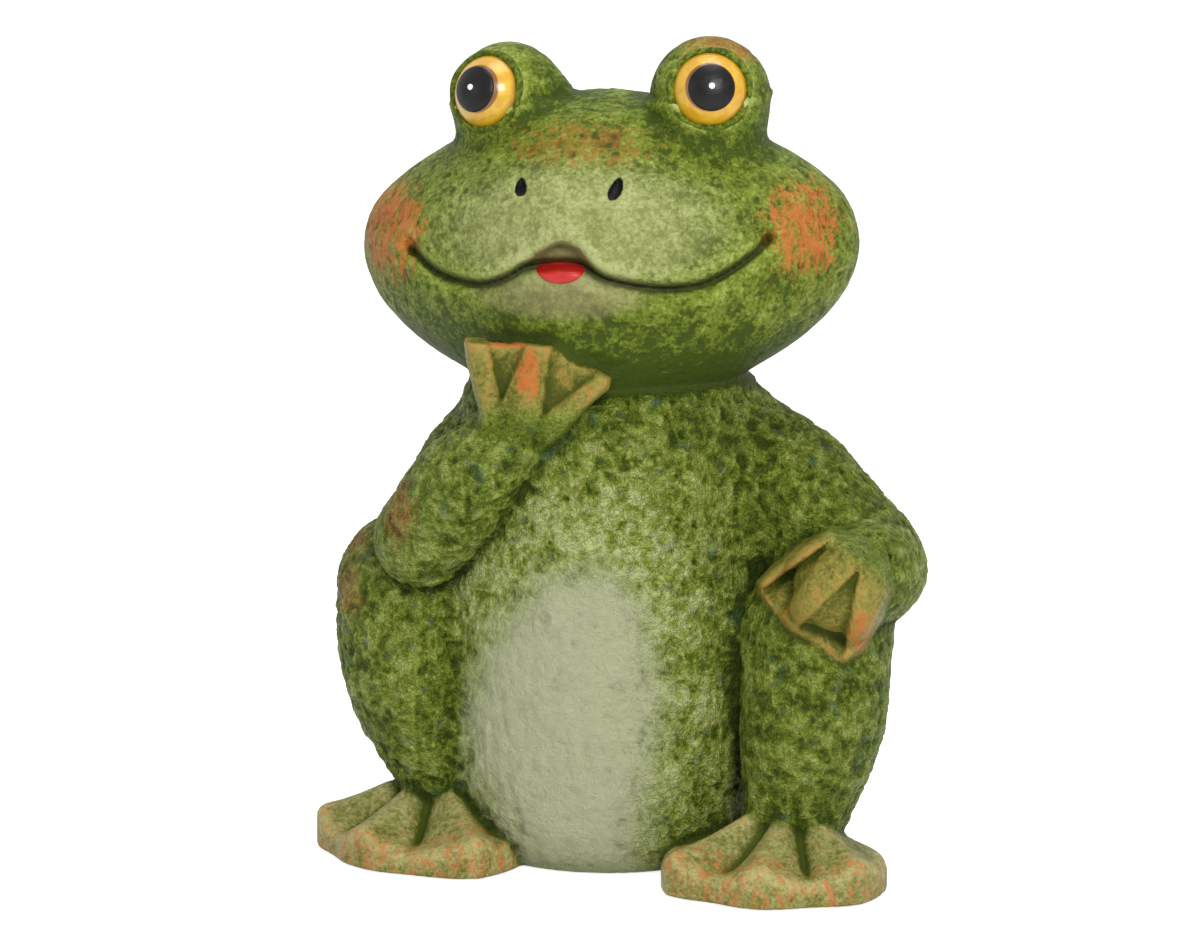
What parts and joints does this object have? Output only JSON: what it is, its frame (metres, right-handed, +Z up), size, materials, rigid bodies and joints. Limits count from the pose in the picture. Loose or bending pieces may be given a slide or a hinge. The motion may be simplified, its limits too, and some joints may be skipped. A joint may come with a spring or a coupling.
{
  "type": "frog figurine",
  "caption": "Sitting frog figurine in painted terracotta, a webbed hand under its chin and the other on its knee, hollow and open at the base.",
  "frame": {"origin": "on the ground, under the middle of the whole figure's box", "axes": "+Z up, the frog faces -Y, +X is the frog's own left"},
  "size_m": [0.2256, 0.1504, 0.2974],
  "materials": {
    "green_painted_clay": "matt hand-painted terracotta, light green with darker green washed into the pits",
    "brushed_painted_clay": "matt hand-painted terracotta, pale green with dry-brushed orange on the ridges",
    "red_painted_clay": "satin red paint on terracotta",
    "amber_glaze": "glossy amber glaze",
    "black_glaze": "glossy black glaze"
  },
  "bodies": {
    "root": {"torso": "green_painted_clay", "head": "green_painted_clay", "left_leg": "green_painted_clay", "right_leg": "green_painted_clay", "left_upper_arm": "green_painted_clay", "right_upper_arm": "green_painted_clay", "left_forearm": "green_painted_clay", "right_forearm": "green_painted_clay", "left_eye_mound": "green_painted_clay", "right_eye_mound": "green_painted_clay", "left_foot": "brushed_painted_clay", "right_foot": "brushed_painted_clay", "left_hand": "brushed_painted_clay", "right_hand": "brushed_painted_clay", "tongue": "red_painted_clay", "left_eyeball": "amber_glaze", "right_eyeball": "amber_glaze", "left_pupil": "black_glaze", "right_pupil": "black_glaze"}
  },
  "joints": []
}
